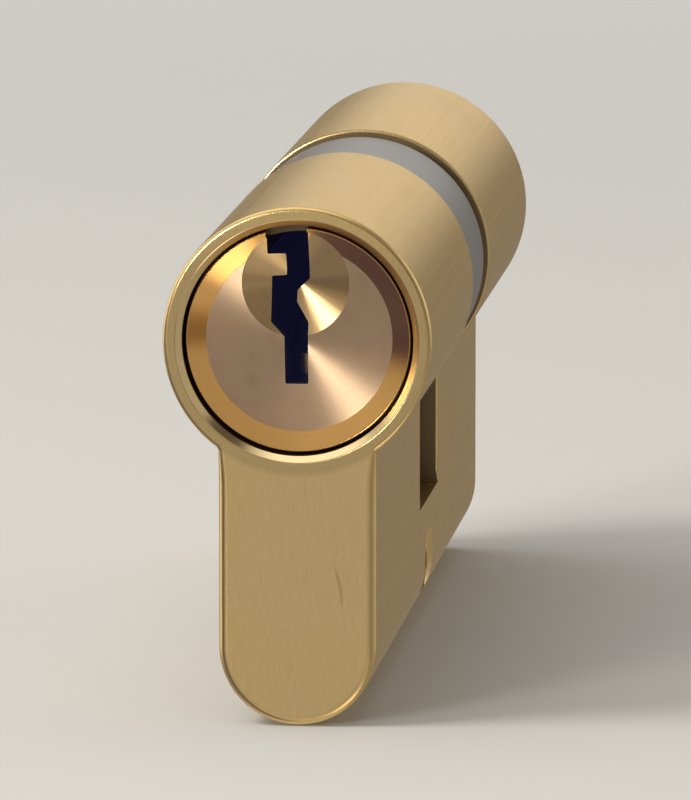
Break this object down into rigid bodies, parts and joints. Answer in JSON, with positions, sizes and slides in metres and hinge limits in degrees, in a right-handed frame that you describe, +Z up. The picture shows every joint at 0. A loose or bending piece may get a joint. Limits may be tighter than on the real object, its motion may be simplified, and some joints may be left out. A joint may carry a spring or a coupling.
{
  "type": "euro profile lock cylinder",
  "caption": "Brass euro-profile lock cylinder with a keyed plug at each end, a turning cam in the middle, spring-loaded pin stacks in the lobe and a cross hole for its fixing screw.",
  "frame": {"origin": "under the middle of the profile, where the lobe's round end touches a table, in the plane of the cam and the fixing screw; the plugs' turning axis is 24.5 mm above it", "axes": "+X across the profile, -Y out of the front face along the plugs, +Z up from the pin lobe to the round head"},
  "size_m": [0.017, 0.07, 0.033],
  "materials": {
    "satin_brass": "linished satin brass, fine brush lines along the profile, edges worn bright",
    "turned_brass": "fine turned brass with concentric tool marks, bright dished rim",
    "pin_brass": "turned brass, lightly oiled",
    "nickel_silver": "turned nickel silver",
    "sintered_steel": "sintered steel, matt, faintly grained",
    "spring_steel": "hard spring steel, smooth"
  },
  "bodies": {
    "case": {"cylinder_body": "satin_brass", "front_chamber_cap_1": "pin_brass", "front_pin_spring_1": "spring_steel", "front_chamber_cap_2": "pin_brass", "front_pin_spring_2": "spring_steel", "front_chamber_cap_3": "pin_brass", "front_pin_spring_3": "spring_steel", "front_chamber_cap_4": "pin_brass", "front_pin_spring_4": "spring_steel", "front_chamber_cap_5": "pin_brass", "front_pin_spring_5": "spring_steel", "rear_chamber_cap_1": "pin_brass", "rear_pin_spring_1": "spring_steel", "rear_chamber_cap_2": "pin_brass", "rear_pin_spring_2": "spring_steel", "rear_chamber_cap_3": "pin_brass", "rear_pin_spring_3": "spring_steel", "rear_chamber_cap_4": "pin_brass", "rear_pin_spring_4": "spring_steel", "rear_chamber_cap_5": "pin_brass", "rear_pin_spring_5": "spring_steel"},
    "front_plug_group": {"front_plug": "turned_brass", "front_circlip": "spring_steel"},
    "rear_plug_group": {"rear_plug": "turned_brass", "rear_circlip": "spring_steel"},
    "cam": {"cam": "sintered_steel"},
    "clutch": {"clutch_front_half": "sintered_steel", "clutch_rear_half": "sintered_steel", "clutch_spring": "spring_steel"},
    "front_key_pin_1": {"front_key_pin_1": "pin_brass"},
    "front_driver_pin_1": {"front_driver_pin_1": "nickel_silver"},
    "front_key_pin_2": {"front_key_pin_2": "pin_brass"},
    "front_driver_pin_2": {"front_driver_pin_2": "nickel_silver"},
    "front_key_pin_3": {"front_key_pin_3": "pin_brass"},
    "front_driver_pin_3": {"front_driver_pin_3": "nickel_silver"},
    "front_key_pin_4": {"front_key_pin_4": "pin_brass"},
    "front_driver_pin_4": {"front_driver_pin_4": "nickel_silver"},
    "front_key_pin_5": {"front_key_pin_5": "pin_brass"},
    "front_driver_pin_5": {"front_driver_pin_5": "nickel_silver"},
    "rear_key_pin_1": {"rear_key_pin_1": "pin_brass"},
    "rear_driver_pin_1": {"rear_driver_pin_1": "nickel_silver"},
    "rear_key_pin_2": {"rear_key_pin_2": "pin_brass"},
    "rear_driver_pin_2": {"rear_driver_pin_2": "nickel_silver"},
    "rear_key_pin_3": {"rear_key_pin_3": "pin_brass"},
    "rear_driver_pin_3": {"rear_driver_pin_3": "nickel_silver"},
    "rear_key_pin_4": {"rear_key_pin_4": "pin_brass"},
    "rear_driver_pin_4": {"rear_driver_pin_4": "nickel_silver"},
    "rear_key_pin_5": {"rear_key_pin_5": "pin_brass"},
    "rear_driver_pin_5": {"rear_driver_pin_5": "nickel_silver"}
  },
  "joints": [
    {"name": "plug_front_turn", "type": "hinge", "parent": "case", "child": "front_plug_group", "pos_m": [0, -0.0335, 0.0245], "axis": [0, 1, 0], "continuous": true},
    {"name": "plug_rear_turn", "type": "hinge", "parent": "case", "child": "rear_plug_group", "pos_m": [0, 0.0335, 0.0245], "axis": [0, 1, 0], "continuous": true},
    {"name": "cam_turn", "type": "hinge", "parent": "case", "child": "cam", "pos_m": [0, 0, 0.0245], "axis": [0, 1, 0], "continuous": true},
    {"name": "clutch_slide", "type": "slide", "parent": "cam", "child": "clutch", "axis": [0, 1, 0], "range_m": [0, 0.00175]},
    {"name": "tumbler_front_1_key_pin", "type": "slide", "parent": "front_plug_group", "child": "front_key_pin_1", "axis": [0, 0, 1], "range_m": [0, 0.00243]},
    {"name": "tumbler_front_1_driver", "type": "slide", "parent": "case", "child": "front_driver_pin_1", "axis": [0, 0, 1], "range_m": [-0.003, 0], "deforming": ["front_pin_spring_1"]},
    {"name": "tumbler_front_2_key_pin", "type": "slide", "parent": "front_plug_group", "child": "front_key_pin_2", "axis": [0, 0, 1], "range_m": [0, 0.00143]},
    {"name": "tumbler_front_2_driver", "type": "slide", "parent": "case", "child": "front_driver_pin_2", "axis": [0, 0, 1], "range_m": [-0.003, 0], "deforming": ["front_pin_spring_2"]},
    {"name": "tumbler_front_3_key_pin", "type": "slide", "parent": "front_plug_group", "child": "front_key_pin_3", "axis": [0, 0, 1], "range_m": [0, 0.00283]},
    {"name": "tumbler_front_3_driver", "type": "slide", "parent": "case", "child": "front_driver_pin_3", "axis": [0, 0, 1], "range_m": [-0.003, 0], "deforming": ["front_pin_spring_3"]},
    {"name": "tumbler_front_4_key_pin", "type": "slide", "parent": "front_plug_group", "child": "front_key_pin_4", "axis": [0, 0, 1], "range_m": [0, 0.00093]},
    {"name": "tumbler_front_4_driver", "type": "slide", "parent": "case", "child": "front_driver_pin_4", "axis": [0, 0, 1], "range_m": [-0.003, 0], "deforming": ["front_pin_spring_4"]},
    {"name": "tumbler_front_5_key_pin", "type": "slide", "parent": "front_plug_group", "child": "front_key_pin_5", "axis": [0, 0, 1], "range_m": [0, 0.00193]},
    {"name": "tumbler_front_5_driver", "type": "slide", "parent": "case", "child": "front_driver_pin_5", "axis": [0, 0, 1], "range_m": [-0.003, 0], "deforming": ["front_pin_spring_5"]},
    {"name": "tumbler_rear_1_key_pin", "type": "slide", "parent": "rear_plug_group", "child": "rear_key_pin_1", "axis": [0, 0, 1], "range_m": [0, 0.00243]},
    {"name": "tumbler_rear_1_driver", "type": "slide", "parent": "case", "child": "rear_driver_pin_1", "axis": [0, 0, 1], "range_m": [-0.003, 0], "deforming": ["rear_pin_spring_1"]},
    {"name": "tumbler_rear_2_key_pin", "type": "slide", "parent": "rear_plug_group", "child": "rear_key_pin_2", "axis": [0, 0, 1], "range_m": [0, 0.00143]},
    {"name": "tumbler_rear_2_driver", "type": "slide", "parent": "case", "child": "rear_driver_pin_2", "axis": [0, 0, 1], "range_m": [-0.003, 0], "deforming": ["rear_pin_spring_2"]},
    {"name": "tumbler_rear_3_key_pin", "type": "slide", "parent": "rear_plug_group", "child": "rear_key_pin_3", "axis": [0, 0, 1], "range_m": [0, 0.00283]},
    {"name": "tumbler_rear_3_driver", "type": "slide", "parent": "case", "child": "rear_driver_pin_3", "axis": [0, 0, 1], "range_m": [-0.003, 0], "deforming": ["rear_pin_spring_3"]},
    {"name": "tumbler_rear_4_key_pin", "type": "slide", "parent": "rear_plug_group", "child": "rear_key_pin_4", "axis": [0, 0, 1], "range_m": [0, 0.00093]},
    {"name": "tumbler_rear_4_driver", "type": "slide", "parent": "case", "child": "rear_driver_pin_4", "axis": [0, 0, 1], "range_m": [-0.003, 0], "deforming": ["rear_pin_spring_4"]},
    {"name": "tumbler_rear_5_key_pin", "type": "slide", "parent": "rear_plug_group", "child": "rear_key_pin_5", "axis": [0, 0, 1], "range_m": [0, 0.00193]},
    {"name": "tumbler_rear_5_driver", "type": "slide", "parent": "case", "child": "rear_driver_pin_5", "axis": [0, 0, 1], "range_m": [-0.003, 0], "deforming": ["rear_pin_spring_5"]}
  ],
  "couplings": [
    {"joint": "cam_turn", "follows": "plug_front_turn", "ratio": 1}
  ]
}
